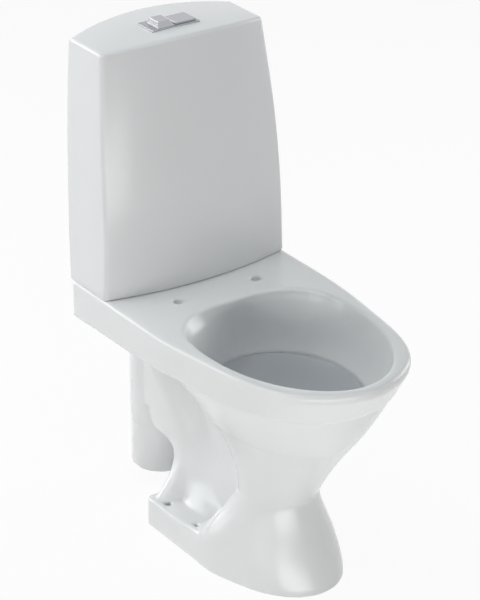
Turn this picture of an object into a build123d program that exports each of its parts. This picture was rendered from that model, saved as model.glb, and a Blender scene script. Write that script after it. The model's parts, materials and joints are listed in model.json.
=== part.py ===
from build123d import *
import os
from math import copysign, cos, pi, sin

# Pan: height, width and the outline of its rim and deck
rim_height = 428
pan_width = 359
rim_front_reach = 329
rim_widest_y = 59
deck_rear_y = 266
deck_rear_bow = 33
deck_corner_radius = 14
rim_edge_radius = 6
rim_outline_shares = ((0.951, 0.314), (0.897, 0.485), (0.786, 0.722), (0.563, 0.887), (0.251, 0.974))

# Pan: side band under the rim
band_upright = 14
band_depth = 58
band_depth_rear = 67
band_depth_side = 62
band_side_y = 83
band_level_y = -52
band_front_lean = 30
band_low_shares = ((0.95, 0.332), (0.897, 0.522), (0.813, 0.676), (0.691, 0.799), (0.518, 0.902), (0.279, 0.975))

# Each row of the bowl, cavity and foot shares has a level, half width, widest line, front and rear
# Pan: outside of the bowl, in shares of the way from the waist up to the rim
waist_height = 138
waist_radius = 66.5
waist_y = -78.6
bowl_widest_y = -55
bowl_rear_y = 109
bowl_shares = ((0.81, 0.898, 1, 0.831, 1), (0.655, 0.65, 0.81, 0.712, 0.959), (0.483, 0.376, 0.597, 0.538, 0.653),
               (0.241, 0.066, 0.3, 0.255, 0.257), (0.052, 0, 0.068, 0.054, 0.026))
bowl_powers = (2.13, 2.1, 2.07, 2.04, 2.0)
bowl_crease_row = 2

# Pan: inside of the bowl, in shares of the way from its low end up to the opening
rim_flat_width = 30.5
rim_front_flat = 18.5
opening_widest_y = -91
opening_rear_y = 50.5
opening_front_power = 1.95
opening_rear_power = 2.8
opening_lip_radius = 5
opening_lip_steps = 3
cavity_low_rise = 60
cavity_low_half_width = 54
cavity_low_front_reach = 71
cavity_low_rear_reach = 67
cavity_shares = ((0.87, 0.93, 1, 0.924, 0.923), (0.565, 0.757, 1, 0.671, 0.8), (0.283, 0.346, 0.5, 0.348, 0.369),
                 (0, 0, 0, 0, 0))

# Pan: foot, in shares of the way from the waist down to the floor
foot_half_width = 115
foot_front_reach = 207.5
foot_widest_y = -11
foot_oval_rear_y = 29
foot_rear_y = 149
foot_corner_radius = 12
foot_wall = 13
foot_shares = ((1, 1, 1, 1, 1), (0.819, 0.992, 1.03, 0.832, 0.951), (0.638, 0.918, 1.074, 0.639, 0.83),
               (0.478, 0.711, 0.867, 0.463, 0.635), (0.312, 0.423, 0.556, 0.287, 0.392),
               (0.145, 0.155, 0.26, 0.127, 0.148))
ledge_height = 50
ledge_thickness = 13
ledge_edge_radius = 4
screw_inset = 19
screw_spacing_y = 84
screw_centre_y = 65
screw_hole_radius = 6
screw_boss_radius = 13

# Pan: outlet spigot, trap limb and the webs between them
outlet_radius = 51
outlet_bore_radius = 42
outlet_y = 277
outlet_end_height = 27
outlet_length = 90
outlet_step = 1
outlet_roof_drop = 88
limb_radius = 48
limb_bore_radius = 37
limb_foot_y = 135.3
limb_top_drop = 55
passage_height = 96
passage_radius = 46
web_half_width = 34
arch_height = 160
arch_radius = 48
arch_inset = 1
flare_levels = (46, 72, 112)
flare_half_widths = (80, 57, 47.5)
flare_widest_ys = (60, 96, 146)
flare_front_ys = (-50, 0, 88)
flare_rear_ys = (149, 166, 203)
heel_levels = (46, 72, 112)
heel_half_widths = (109, 84, 46)
heel_widest_ys = (126, 138, 152)
heel_front_ys = (92, 104, 120)
heel_rear_ys = (149, 163, 198)

# Pan: holes and hollows of the deck
seat_hole_spacing = 155
seat_hole_y = 99
seat_hole_radius = 8.5
flush_inlet_radius = 34
flush_channel_half_width = 44
flush_channel_roof = 14
flush_channel_height = 22
flush_duct_front_y = 62
flush_duct_depth = 22
flush_slot_drop = 132
flush_slot_height = 20
pocket_nut_gap = 7
pocket_outer_wall = 13.5
pocket_front_y = 76
pocket_rear_y = 252
pocket_roof = 15
pocket_corner_radius = 12

# Hood
hood_seam = 0.3
hood_height = 421.5
hood_wall = 9
hood_level_shares = (0.0, 0.285, 0.57, 0.783, 1.025)
hood_width_shares = (0.998, 0.971, 0.945, 0.908, 0.856)
hood_front_y = 162
hood_front_leans = (0, 0.3, 10.5, 22, 35.5)
hood_rear_leans = (-0.5, 9, 14, 20, 23)
hood_front_bow = 24.5
hood_rear_bow = 33
hood_front_corner_radius = 10
hood_rear_corner_radius = 15
hood_top_sag = 9.5
hood_top_edge_radius = 7
hood_roof = 10

# Button plate and its opening in the hood
button_y = 237.5
plate_length = 92
plate_width = 47
plate_thickness = 2.4
plate_corner_radius = 2
plate_bevel = 0.8
plate_seat_depth = 0.9
button_opening_x = 3.5
button_opening_y = -2.5
button_opening_length = 73
button_opening_width = 35
frame_wall = 2
frame_depth = 20
frame_floor = 2
frame_clearance = 0.5
frame_screw_gap = 0.1
button_gap = 0.4
button_skirt = 6
button_wall = 1.8
button_edge_radius = 1.2
full_button_length = 32
full_button_height = 10.5
full_button_top_length = 21
full_button_top_width = 26
full_button_top_x = -19.5
half_button_height = 4.6
half_button_bevel = 1.6
button_travel = 6

# Push rods, return springs and clamp screws
rod_x = 24
rod_y = 9
rod_radius = 3
rod_guide_gap = 0.1
rod_boss_radius = 5
spring_wire_radius = 0.5
spring_radius = 4
spring_turns = 4
spring_gap = 0.05
boss_drop = 5.3
screw_x = 20
screw_radius = 1.5
screw_head_radius = 3
screw_head_height = 2
seat_gap = 0.3

# Inner cistern
tank_gap = 5
tank_wall = 3
tank_floor = 4
tank_lift = 16
tank_top_drop = 57.8
tank_foot_x_share = 0.78
tank_foot_radius = 8
tank_foot_ys = (208, 244)
bolt_x_share = 0.418
bolt_y = 222
bolt_radius = 4
bolt_head_radius = 10
bolt_head_height = 5
bolt_end_length = 33
bolt_hole_gap = 0.6
washer_thickness = 3
washer_overhang = 2
wing_nut_radius = 8
wing_nut_height = 9
wing_length = 9
wing_thickness = 3
wing_end_radius = 1.4
thread_gap = 0.05

# Flush valve
seat_tail_radius = 29
seat_bore_radius = 24
seat_tail_length = 39
seat_flange_radius = 42
seat_flange_thickness = 4
seat_lip_height = 4
seat_lip_wall = 3
tail_gap = 0.5
tail_nut_radius = 38
tail_nut_height = 10
gasket_radius = 46
gasket_gap = 1.5
cage_ring_radius = 41
cage_ring_wall = 5
cage_top_ring_wall = 11
cage_leg_width = 8
cage_height = 72
cage_ring_height = 6
cage_collar_height = 18
cage_collar_wall = 3.5
cage_spoke_width = 6
post_y = 34
post_length = 14
post_thickness = 5
tube_radius = 19
tube_wall = 2.5
tube_top_drop = 37
tube_guide_gap = 0.6
tube_flange_radius = 33
tube_flange_thickness = 4
seal_thickness = 3
seal_inner_radius = 17
seal_outer_radius = 31
hook_thickness = 5
hook_width = 9
hook_reach = 4
hook_strut_thickness = 4
hook_strut_gap = 2
weight_rise = 76
weight_height = 30
weight_radius = 28
weight_gap = 0.8
weight_rod_x = 39
weight_rod_radius = 3
weight_arm_thickness = 6

# Bridge and flush levers
bridge_drop = 77.8
bridge_length = 112
bridge_width = 78
bridge_depth = 12
bridge_end = 9
bridge_side = 15
bridge_rib = 3
bridge_boss_radius = 3.6
pivot_x = 10
pivot_rise = 6
lever_thickness = 5
lever_width = 7
lever_lift_arm = 42
lever_nose_radius = 3
lever_tail = 5
lever_hub_radius = 5
lever_pin_radius = 2
pin_gap = 0.05

# Fill valve
fill_x_share = 0.63
fill_y = 222
shank_radius = 11
shank_bore_radius = 6
shank_length = 63
inlet_tail_radius = 10.5
inlet_tail_length = 26
shank_hole_gap = 0.5
shank_deck_hole_radius = 14
shank_flange_radius = 16
shank_flange_thickness = 4
shank_nut_width = 30
shank_nut_height = 10
column_radius = 10
column_top_drop = 50
head_radius = 15
head_height = 23
cap_height = 4
cap_overhang = 0.6
float_hub_radius = 4
washer_bore_gap = 0.2
ear_height = 17
ear_width = 9
ear_thickness = 2.5
lever_ear_gap = 0.4
float_lever_pivot_x = 8
float_lever_rise = 13
float_lever_length = 30
float_lever_width = 7
float_lever_thickness = 4
float_pin_radius = 1.5
float_radius = 24
float_height = 50
float_top_drop = 32
float_wall = 2
float_gap = 0.8
link_radius = 1.5

# Shared by every cut that runs past a face
overrun = 5
oval_steps = 16

half_pan = pan_width / 2
bolt_x = half_pan * bolt_x_share
fill_x = half_pan * fill_x_share
tank_foot_x = half_pan * tank_foot_x_share
hood_half_widths = [half_pan * share for share in hood_width_shares]
hood_front_ys = [hood_front_y + lean for lean in hood_front_leans]
hood_rear_ys = [deck_rear_y + lean for lean in hood_rear_leans]
hood_low = rim_height + hood_seam
hood_top = hood_low + hood_height
deck_low = rim_height - band_depth_rear


def signed_power(value, power):
    """A number to a power, with its sign kept."""
    return copysign(abs(value) ** power, value)


def oval(height, half_width, widest_y, front_y, rear_y, front_power=2.0, rear_power=2.0):
    """Horizontal section: a superellipse before its widest line and another behind it."""
    points = []
    for step in range(oval_steps):
        turn = 2 * pi * step / oval_steps
        ahead = cos(turn) > 0
        power = 2 / (front_power if ahead else rear_power)
        reach = widest_y - front_y if ahead else rear_y - widest_y
        x = half_width * signed_power(sin(turn), power)
        points.append((x, widest_y - reach * signed_power(cos(turn), power)))
    with BuildSketch(Plane.XY.offset(height)) as section:
        with BuildLine():
            Spline(*points, periodic=True)
        make_face()
    return section.sketch


def rim_outline(height, reach, shares):
    """The deck's outline with a rounded front that reaches a distance before the middle."""
    width = half_pan
    length = rim_widest_y + reach
    rear = deck_rear_y
    right = [(width * x, rim_widest_y - length * y) for x, y in shares]
    left = [(-x, y) for x, y in reversed(right)]
    tip = (0, rim_widest_y - length)
    with BuildSketch(Plane.XY.offset(height)) as section:
        with BuildLine():
            Spline((width, rim_widest_y), *right, tip, *left, (-width, rim_widest_y),
                   tangents=[(0, -1), (0, 1)])
            Line((-width, rim_widest_y), (-width, rear))
            ThreePointArc((-width, rear), (0, rear + deck_rear_bow), (width, rear))
            Line((width, rear), (width, rim_widest_y))
        make_face()
        rear_corners = [v for v in section.vertices() if v.Y > rear - deck_corner_radius]
        fillet(rear_corners, deck_corner_radius)
    return section.sketch


def at_share(share, values):
    """A hood measure at a share of the hood's height, read between its levels."""
    for low, high, start, end in zip(hood_level_shares, hood_level_shares[1:], values, values[1:]):
        if share <= high or high == hood_level_shares[-1]:
            return start + (end - start) * (share - low) / (high - low)


def hood_outline(share, inset=0):
    """Horizontal section of the hood at a share of its height, drawn in by the inset."""
    half_width = at_share(share, hood_half_widths) - inset
    front_y = at_share(share, hood_front_ys) + inset
    rear_y = at_share(share, hood_rear_ys) - inset
    with BuildSketch(Plane.XY.offset(rim_height + hood_seam + share * hood_height)) as section:
        with BuildLine():
            ThreePointArc((-half_width, front_y), (0, front_y - hood_front_bow), (half_width, front_y))
            Line((half_width, front_y), (half_width, rear_y))
            ThreePointArc((half_width, rear_y), (0, rear_y + hood_rear_bow), (-half_width, rear_y))
            Line((-half_width, rear_y), (-half_width, front_y))
        make_face()
        front_corners = section.vertices().group_by(Axis.Y)[0]
        rear_corners = section.vertices().group_by(Axis.Y)[-1]
        fillet(front_corners, max(hood_front_corner_radius - inset / 2, hood_front_corner_radius / 3))
        fillet(rear_corners, max(hood_rear_corner_radius - inset / 2, hood_rear_corner_radius / 3))
    return section.sketch


def stacked_ovals(levels, half_widths, widest_ys, front_ys, rear_ys):
    """Plain ovals at a list of levels, ready to loft."""
    return [oval(*row) for row in zip(levels, half_widths, widest_ys, front_ys, rear_ys)]


def rows_between(shares, start, end):
    """Oval rows at their shares of the way from a start row to an end row."""
    return [[low + share * (high - low) for share, low, high in zip(row, start, end)] for row in shares]


waist_row = (waist_height, waist_radius, waist_y, waist_y - waist_radius, waist_y + waist_radius)
waist = oval(*waist_row)

# Pan body: deck and rim over a side band that leans in towards the front
band_low = rim_height - band_depth
band_low_reach = rim_front_reach - band_front_lean
with BuildPart() as band:
    rim_low = rim_outline(rim_height - band_upright, rim_front_reach, rim_outline_shares)
    add(rim_low)
    extrude(amount=band_upright)
    fillet(band.faces().sort_by(Axis.Z)[-1].edges(), rim_edge_radius)
    loft([rim_low, rim_outline(band_low, band_low_reach, band_low_shares)], ruled=True)
    add(rim_outline(deck_low, band_low_reach, band_low_shares))
    extrude(amount=band_low - deck_low)
    with BuildSketch(Plane.YZ) as band_underside:
        with BuildLine():
            rear_point = (deck_rear_y + deck_rear_bow + overrun, deck_low)
            side_point = (band_side_y, rim_height - band_depth_side)
            level_point = (band_level_y, band_low)
            front_point = (-rim_front_reach - overrun, band_low)
            Polyline(rear_point, side_point, level_point, front_point, (front_point[0], 0), (rear_point[0], 0),
                     rear_point)
        make_face()
    extrude(amount=pan_width, both=True, mode=Mode.SUBTRACT)

# Pan body: the bowl's outside, from the band down to a crease and on down to the waist
rim_row = (rim_height, half_pan, bowl_widest_y, -rim_front_reach, bowl_rear_y)
bowl_rows = rows_between(bowl_shares, waist_row, rim_row)
with BuildPart() as bowl:
    bowl_sections = [oval(*row, power) for row, power in zip(bowl_rows, bowl_powers)]
    loft(bowl_sections[:bowl_crease_row + 1])
    loft(bowl_sections[bowl_crease_row:] + [waist])

# Pan body: the foot under the waist
foot_floor_row = (0, foot_half_width, foot_widest_y, -foot_front_reach, foot_oval_rear_y)
foot_rows = rows_between(foot_shares, waist_row, foot_floor_row)
with BuildPart() as foot:
    loft([oval(*row) for row in foot_rows] + [waist])

# Pan body: the base with its two side ledges
with BuildPart() as base:
    base_length = foot_rear_y - foot_widest_y + foot_corner_radius
    with BuildSketch():
        with Locations((0, foot_rear_y - base_length / 2)):
            RectangleRounded(2 * foot_half_width, base_length, foot_corner_radius)
    extrude(amount=ledge_height)
    fillet(base.faces().sort_by(Axis.Z)[-1].edges(), ledge_edge_radius)

# Pan body: the leaning trap limb, the passage that feeds it and the outlet spigot
limb_top_z = deck_low - limb_top_drop
limb_line = Vector(0, outlet_y - limb_foot_y, limb_top_z - passage_height)
limb_plane = Plane(origin=(0, limb_foot_y, passage_height), x_dir=(1, 0, 0), z_dir=limb_line)
outlet_step_height = outlet_end_height + outlet_length
with BuildPart() as limb:
    with BuildSketch(limb_plane):
        Circle(limb_radius)
    extrude(amount=limb_line.length)
    with BuildSketch(Plane.XZ.offset(-limb_foot_y)):
        with Locations((0, passage_height)):
            Circle(passage_radius)
    extrude(amount=limb_foot_y - waist_y)
    with BuildSketch(Plane.XY.offset(outlet_end_height)):
        with Locations((0, outlet_y)):
            Circle(outlet_radius)
    extrude(amount=outlet_length)
    with BuildSketch(Plane.XY.offset(outlet_step_height)):
        with Locations((0, outlet_y)):
            Circle(outlet_radius + outlet_step)
    extrude(amount=deck_low + overrun - outlet_step_height)

# Pan body: webs between the spigot, the limb and the bowl, and the arch under them
arch_foot_z = arch_height - arch_radius
arch_foot_y = limb_foot_y + (arch_foot_z - passage_height) * limb_line.Y / limb_line.Z
arch_start_y = arch_foot_y + arch_radius
with BuildPart() as webs:
    with BuildSketch(Plane.YZ):
        with BuildLine():
            Line((outlet_y, arch_height), (arch_start_y + arch_radius, arch_height))
            RadiusArc((arch_start_y + arch_radius, arch_height), (arch_start_y, arch_foot_z), arch_radius)
            Polyline((arch_start_y, arch_foot_z), (arch_foot_y, arch_foot_z), (outlet_y, limb_top_z),
                     (outlet_y, arch_height))
        make_face()
    extrude(amount=limb_radius - arch_inset, both=True)
    with BuildSketch(Plane.YZ):
        with BuildLine():
            Polyline((waist_y, passage_height), (limb_foot_y, passage_height), (outlet_y, limb_top_z),
                     (outlet_y, deck_low + overrun), (waist_y, deck_low + overrun), (waist_y, passage_height))
        make_face()
    extrude(amount=web_half_width, both=True)

# Pan body: the flared roots of the limb on the base
with BuildPart() as roots:
    loft(stacked_ovals(flare_levels, flare_half_widths, flare_widest_ys, flare_front_ys, flare_rear_ys))
    loft(stacked_ovals(heel_levels, heel_half_widths, heel_widest_ys, heel_front_ys, heel_rear_ys))

# Pan hollows: the bowl's cavity under its rounded lip
lip_low = rim_height - opening_lip_radius
opening_half_width = half_pan - rim_flat_width - opening_lip_radius
opening_front_y = rim_front_flat + opening_lip_radius - rim_front_reach
opening_row = (lip_low, opening_half_width, opening_widest_y, opening_front_y, opening_rear_y)
cavity_low_z = waist_height + cavity_low_rise
cavity_low_row = (cavity_low_z, cavity_low_half_width, waist_y, waist_y - cavity_low_front_reach,
                  waist_y + cavity_low_rear_reach)
with BuildPart() as cavity:
    lip_sections = []
    for step in range(opening_lip_steps + 1):
        turn = pi / 2 * step / opening_lip_steps
        growth = opening_lip_radius * (1 - sin(turn))
        lip_level = lip_low + opening_lip_radius * cos(turn)
        lip_sections.append(oval(lip_level, opening_half_width + growth, opening_widest_y, opening_front_y - growth,
                                 opening_rear_y + growth, opening_front_power, opening_rear_power))
    loft(lip_sections)
    loft([lip_sections[-1]] + [oval(*row) for row in rows_between(cavity_shares, cavity_low_row, opening_row)])

# Pan hollows: the water's way from the bowl through the passage and the limb to the outlet
with BuildPart() as waterway:
    with BuildSketch(Plane.XY.offset(passage_height)):
        with Locations((0, waist_y)):
            Circle(limb_bore_radius)
    extrude(amount=cavity_low_z + overrun - passage_height)
    with BuildSketch(Plane.XZ.offset(-limb_foot_y)):
        with Locations((0, passage_height)):
            Circle(limb_bore_radius)
    extrude(amount=limb_foot_y - waist_y)
    with Locations((0, waist_y, passage_height), (0, limb_foot_y, passage_height)):
        Sphere(limb_bore_radius)
    with BuildSketch(limb_plane):
        Circle(limb_bore_radius)
    extrude(amount=limb_line.length)
    with BuildSketch(Plane.XY.offset(outlet_end_height - overrun)):
        with Locations((0, outlet_y)):
            Circle(outlet_bore_radius)
    extrude(amount=rim_height - outlet_roof_drop + overrun - outlet_end_height)

# Pan hollows: the flush channel under the deck, with its inlet, its duct and its slot into the bowl
channel_top = rim_height - flush_channel_roof
channel_low = channel_top - flush_channel_height
duct_rear_y = flush_duct_front_y + flush_duct_depth
flush_slot_low = rim_height - flush_slot_drop
channel_rear_y = button_y + flush_inlet_radius
with BuildPart() as flush_way:
    with BuildSketch(Plane.XY.offset(channel_low)):
        with Locations((0, (flush_duct_front_y + channel_rear_y) / 2)):
            RectangleRounded(2 * flush_channel_half_width, channel_rear_y - flush_duct_front_y,
                             pocket_corner_radius)
    extrude(amount=flush_channel_height)
    with BuildSketch(Plane.XY.offset(channel_low)):
        with Locations((0, button_y)):
            Circle(flush_inlet_radius)
    extrude(amount=rim_height + overrun - channel_low)
    with BuildSketch(Plane.XY.offset(flush_slot_low)):
        with Locations((0, (flush_duct_front_y + duct_rear_y) / 2)):
            RectangleRounded(2 * flush_channel_half_width, flush_duct_depth, flush_duct_depth / 3)
    extrude(amount=channel_top - flush_slot_low)
    with BuildSketch(Plane.XY.offset(flush_slot_low)):
        with Locations((0, duct_rear_y / 2)):
            Rectangle(flush_channel_half_width, duct_rear_y)
    extrude(amount=flush_slot_height)

# Pan hollows: the deck's two pockets, open below, and the base's open underside
pocket_top = rim_height - pocket_roof
pocket_inner_x = bolt_x - wing_nut_radius - pocket_nut_gap
pocket_outer_x = half_pan - pocket_outer_wall
screw_spacing_x = 2 * (foot_half_width - screw_inset)
hollow_row = foot_rows[2]
with BuildPart() as pockets:
    with BuildSketch(Plane.XY.offset(deck_low - overrun)):
        with Locations((-(pocket_inner_x + pocket_outer_x) / 2, (pocket_front_y + pocket_rear_y) / 2),
                       ((pocket_inner_x + pocket_outer_x) / 2, (pocket_front_y + pocket_rear_y) / 2)):
            RectangleRounded(pocket_outer_x - pocket_inner_x, pocket_rear_y - pocket_front_y,
                             pocket_corner_radius)
    extrude(amount=pocket_top - deck_low + overrun)
    with BuildSketch(Plane.XY.offset(-overrun)):
        with Locations((0, foot_rear_y - base_length / 2)):
            RectangleRounded(2 * (foot_half_width - foot_wall), base_length - 2 * foot_wall, foot_corner_radius)
        add(oval(0, hollow_row[1] - foot_wall, hollow_row[2], hollow_row[3] + foot_wall, hollow_row[2] + foot_wall))
        with Locations((0, screw_centre_y)):
            with GridLocations(screw_spacing_x, screw_spacing_y, 2, 2):
                Circle(screw_boss_radius, mode=Mode.SUBTRACT)
    extrude(amount=ledge_height - ledge_thickness + overrun)
    with BuildSketch(Plane.XY.offset(-overrun)):
        with Locations((0, screw_centre_y)):
            with GridLocations(screw_spacing_x, screw_spacing_y, 2, 2):
                Circle(screw_hole_radius)
    extrude(amount=ledge_height + 2 * overrun)
    with BuildSketch(Plane.XY.offset(deck_low - overrun)):
        with Locations((-seat_hole_spacing / 2, seat_hole_y), (seat_hole_spacing / 2, seat_hole_y)):
            Circle(seat_hole_radius)
        with Locations((-bolt_x, bolt_y), (bolt_x, bolt_y)):
            Circle(bolt_radius + bolt_hole_gap)
        with Locations((fill_x, fill_y)):
            Circle(shank_deck_hole_radius)
    extrude(amount=band_depth_rear + 2 * overrun)

# Pan: one casting
with BuildPart() as pan:
    add([body.part for body in (band, bowl, foot, base, limb, webs, roots)])
    add([hollow.part for hollow in (cavity, waterway, flush_way, pockets)], mode=Mode.SUBTRACT)
pan.part.label = "pan"

# Hood: a smooth shell with an arched top, open below, with a seat and an opening for the button plate
hood_top_half_chord = at_share(1, hood_half_widths)
arch_top_radius = (hood_top_half_chord**2 + hood_top_sag**2) / (2 * hood_top_sag)
plate_seat = hood_top - plate_seat_depth
inner_shares = (-overrun / hood_height,) + hood_level_shares[1:]
opening_y = button_y + button_opening_y
hole_margin = 2 * (frame_wall + frame_clearance)
with BuildPart() as hood_hollow:
    loft([hood_outline(share, hood_wall) for share in inner_shares])
    with Locations((0, 0, hood_top - arch_top_radius)):
        Cylinder(arch_top_radius - hood_roof, 2 * rim_height, rotation=(90, 0, 0), mode=Mode.INTERSECT)
with BuildPart() as cistern_hood:
    loft([hood_outline(share) for share in hood_level_shares])
    with Locations((0, 0, hood_top - arch_top_radius)):
        Cylinder(arch_top_radius, 2 * rim_height, rotation=(90, 0, 0), mode=Mode.INTERSECT)
    fillet(cistern_hood.faces().sort_by(Axis.Z)[-1].edges(), hood_top_edge_radius)
    add(hood_hollow.part, mode=Mode.SUBTRACT)
    with BuildSketch(Plane.XY.offset(plate_seat)):
        with Locations((0, button_y)):
            RectangleRounded(plate_length + 2 * frame_clearance, plate_width + 2 * frame_clearance,
                             plate_corner_radius + frame_clearance)
    extrude(amount=overrun, mode=Mode.SUBTRACT)
    with BuildSketch(Plane.XY.offset(hood_top - 2 * hood_roof)):
        with Locations((button_opening_x, opening_y)):
            RectangleRounded(button_opening_length + hole_margin, button_opening_width + hole_margin,
                             plate_corner_radius)
    extrude(amount=2 * hood_roof + overrun, mode=Mode.SUBTRACT)
cistern_hood.part.label = "cistern_hood"

# Button plate: bevelled plate over a tray that holds both buttons
plate_top = plate_seat + plate_thickness
tray_low = plate_seat - frame_depth
tray_floor = tray_low + frame_floor
with BuildPart() as button_frame:
    with BuildSketch(Plane.XY.offset(plate_seat)):
        with Locations((0, button_y)):
            RectangleRounded(plate_length, plate_width, plate_corner_radius)
    extrude(amount=plate_thickness)
    chamfer(button_frame.faces().sort_by(Axis.Z)[-1].edges(), plate_bevel)
    with BuildSketch(Plane.XY.offset(tray_low)):
        with Locations((button_opening_x, opening_y)):
            RectangleRounded(button_opening_length + 2 * frame_wall, button_opening_width + 2 * frame_wall,
                             plate_corner_radius)
    extrude(amount=frame_depth)
    with BuildSketch(Plane.XY.offset(tray_floor)):
        with Locations((button_opening_x, opening_y)):
            Rectangle(button_opening_length, button_opening_width)
    extrude(amount=frame_depth + overrun, mode=Mode.SUBTRACT)
    with BuildSketch(Plane.XY.offset(tray_low - overrun)):
        with Locations((-rod_x, button_y + rod_y), (rod_x, button_y - rod_y)):
            Circle(rod_radius + rod_guide_gap)
        with Locations((-screw_x, button_y), (screw_x, button_y)):
            Circle(screw_radius + frame_screw_gap)
    extrude(amount=frame_depth / 2 + overrun, mode=Mode.SUBTRACT)
button_frame.part.label = "button_frame"

# Buttons: a tall tapered one for the full flush and a low bevelled one for the half flush
skirt_low = plate_top - button_skirt
boss_low = plate_top - boss_drop
button_depth = button_opening_width - 2 * button_gap
full_low_x = button_opening_x - button_opening_length / 2 + button_gap
full_mid_x = full_low_x + full_button_length / 2
half_low_x = full_low_x + full_button_length + button_gap
half_high_x = button_opening_x + button_opening_length / 2 - button_gap
half_button_length = half_high_x - half_low_x
half_mid_x = (half_low_x + half_high_x) / 2
with BuildPart() as full_flush_button:
    with BuildSketch(Plane.XY.offset(skirt_low)):
        with Locations((full_mid_x, opening_y)):
            Rectangle(full_button_length, button_depth)
    extrude(amount=button_skirt)
    with BuildSketch(Plane.XY.offset(plate_top)):
        with Locations((full_mid_x, opening_y)):
            Rectangle(full_button_length, button_depth)
    with BuildSketch(Plane.XY.offset(plate_top + full_button_height)):
        with Locations((full_button_top_x, opening_y)):
            Rectangle(full_button_top_length, full_button_top_width)
    loft(ruled=True)
    fillet(full_flush_button.faces().sort_by(Axis.Z)[-1].edges(), button_edge_radius)
    with BuildSketch(Plane.XY.offset(skirt_low)):
        with Locations((full_mid_x, opening_y)):
            Rectangle(full_button_length - 2 * button_wall, button_depth - 2 * button_wall)
    extrude(amount=button_skirt, mode=Mode.SUBTRACT)
    with BuildSketch(Plane.XY.offset(boss_low)):
        with Locations((-rod_x, button_y + rod_y)):
            Circle(rod_boss_radius)
    extrude(amount=boss_drop + button_wall)
full_flush_button.part.label = "full_flush_button"

with BuildPart() as half_flush_button:
    with BuildSketch(Plane.XY.offset(skirt_low)):
        with Locations((half_mid_x, opening_y)):
            Rectangle(half_button_length, button_depth)
    extrude(amount=button_skirt + half_button_height)
    chamfer(half_flush_button.faces().sort_by(Axis.Z)[-1].edges(), half_button_bevel)
    with BuildSketch(Plane.XY.offset(skirt_low)):
        with Locations((half_mid_x, opening_y)):
            Rectangle(half_button_length - 2 * button_wall, button_depth - 2 * button_wall)
    extrude(amount=button_skirt, mode=Mode.SUBTRACT)
    with BuildSketch(Plane.XY.offset(boss_low)):
        with Locations((rod_x, button_y - rod_y)):
            Circle(rod_boss_radius)
    extrude(amount=boss_drop + button_wall)
half_flush_button.part.label = "half_flush_button"

# Push rods under the buttons, with round lower ends
bridge_height = hood_top - bridge_drop
lever_z = bridge_height + pivot_rise
rod_low = lever_z + lever_thickness / 2 + seat_gap


def push_rod(x, y):
    """Rod from a button's boss down to its lever."""
    with BuildPart() as rod:
        with BuildSketch(Plane.XY.offset(rod_low + rod_radius)):
            with Locations((x, y)):
                Circle(rod_radius)
        extrude(amount=boss_low - rod_low - rod_radius)
        with Locations((x, y, rod_low + rod_radius)):
            Sphere(rod_radius)
    return rod.part


def button_spring(x, y):
    """Coil spring round a rod, between the tray's floor and a button's boss."""
    low = tray_floor + spring_wire_radius + spring_gap
    height = boss_low - tray_floor - 2 * (spring_wire_radius + spring_gap)
    with BuildPart() as spring:
        with BuildLine():
            coil = Helix(height / spring_turns, height, spring_radius, center=(x, y, low))
        with BuildSketch(Plane(origin=coil @ 0, z_dir=coil % 0)):
            Circle(spring_wire_radius)
        sweep(path=coil, is_frenet=True)
    return spring.part


full_push_rod = push_rod(-rod_x, button_y + rod_y)
full_push_rod.label = "full_push_rod"
half_push_rod = push_rod(rod_x, button_y - rod_y)
half_push_rod.label = "half_push_rod"
full_button_spring = button_spring(-rod_x, button_y + rod_y)
full_button_spring.label = "full_button_spring"
half_button_spring = button_spring(rod_x, button_y - rod_y)
half_button_spring.label = "half_button_spring"

# Clamp screws from the tray's floor down into the bridge
with BuildPart() as clamp_screws:
    with BuildSketch(Plane.XY.offset(tray_floor)):
        with Locations((-screw_x, button_y), (screw_x, button_y)):
            Circle(screw_head_radius)
    extrude(amount=screw_head_height)
    with BuildSketch(Plane.XY.offset(bridge_height + screw_radius)):
        with Locations((-screw_x, button_y), (screw_x, button_y)):
            Circle(screw_radius)
    extrude(amount=tray_floor - bridge_height - screw_radius)
clamp_screws.part.label = "clamp_screws"

# Inner cistern on four feet
tank_low = rim_height + tank_lift
tank_floor_top = tank_low + tank_floor
tank_inset = hood_wall + tank_gap
tank_top_height = hood_top - tank_top_drop


def tank_shares(low, high):
    """Shares of the hood's height from a low level to a high one, with the hood's levels between."""
    start = (low - hood_low) / hood_height
    end = (high - hood_low) / hood_height
    return [start] + [share for share in hood_level_shares if start < share < end] + [end]


with BuildPart() as tank_hollow:
    loft([hood_outline(share, tank_inset + tank_wall)
          for share in tank_shares(tank_floor_top, tank_top_height + overrun)])
with BuildPart() as inner_cistern:
    loft([hood_outline(share, tank_inset) for share in tank_shares(tank_low, tank_top_height)])
    add(tank_hollow.part, mode=Mode.SUBTRACT)
    with BuildSketch(Plane.XY.offset(rim_height)):
        with Locations(*[(x, y) for x in (-tank_foot_x, tank_foot_x) for y in tank_foot_ys]):
            Circle(tank_foot_radius)
    extrude(amount=tank_lift)
    with BuildSketch(Plane.XY.offset(tank_low - overrun)):
        with Locations((0, button_y)):
            Circle(seat_tail_radius + tail_gap)
        with Locations((-bolt_x, bolt_y), (bolt_x, bolt_y)):
            Circle(bolt_radius + bolt_hole_gap)
        with Locations((fill_x, fill_y)):
            Circle(shank_radius + shank_hole_gap)
    extrude(amount=tank_floor + 2 * overrun, mode=Mode.SUBTRACT)
inner_cistern.part.label = "inner_cistern"

# Cistern bolts, their washers and their wing nuts under the deck
pair = ((-bolt_x, bolt_y), (bolt_x, bolt_y))
washer_top = tank_floor_top + washer_thickness
nut_top = rim_height - pocket_roof
with BuildPart() as bolt_washers:
    with BuildSketch(Plane.XY.offset(tank_floor_top)):
        with Locations(*pair):
            Circle(bolt_head_radius + washer_overhang)
            Circle(bolt_radius + washer_bore_gap, mode=Mode.SUBTRACT)
    extrude(amount=washer_thickness)
bolt_washers.part.label = "bolt_washers"

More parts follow.
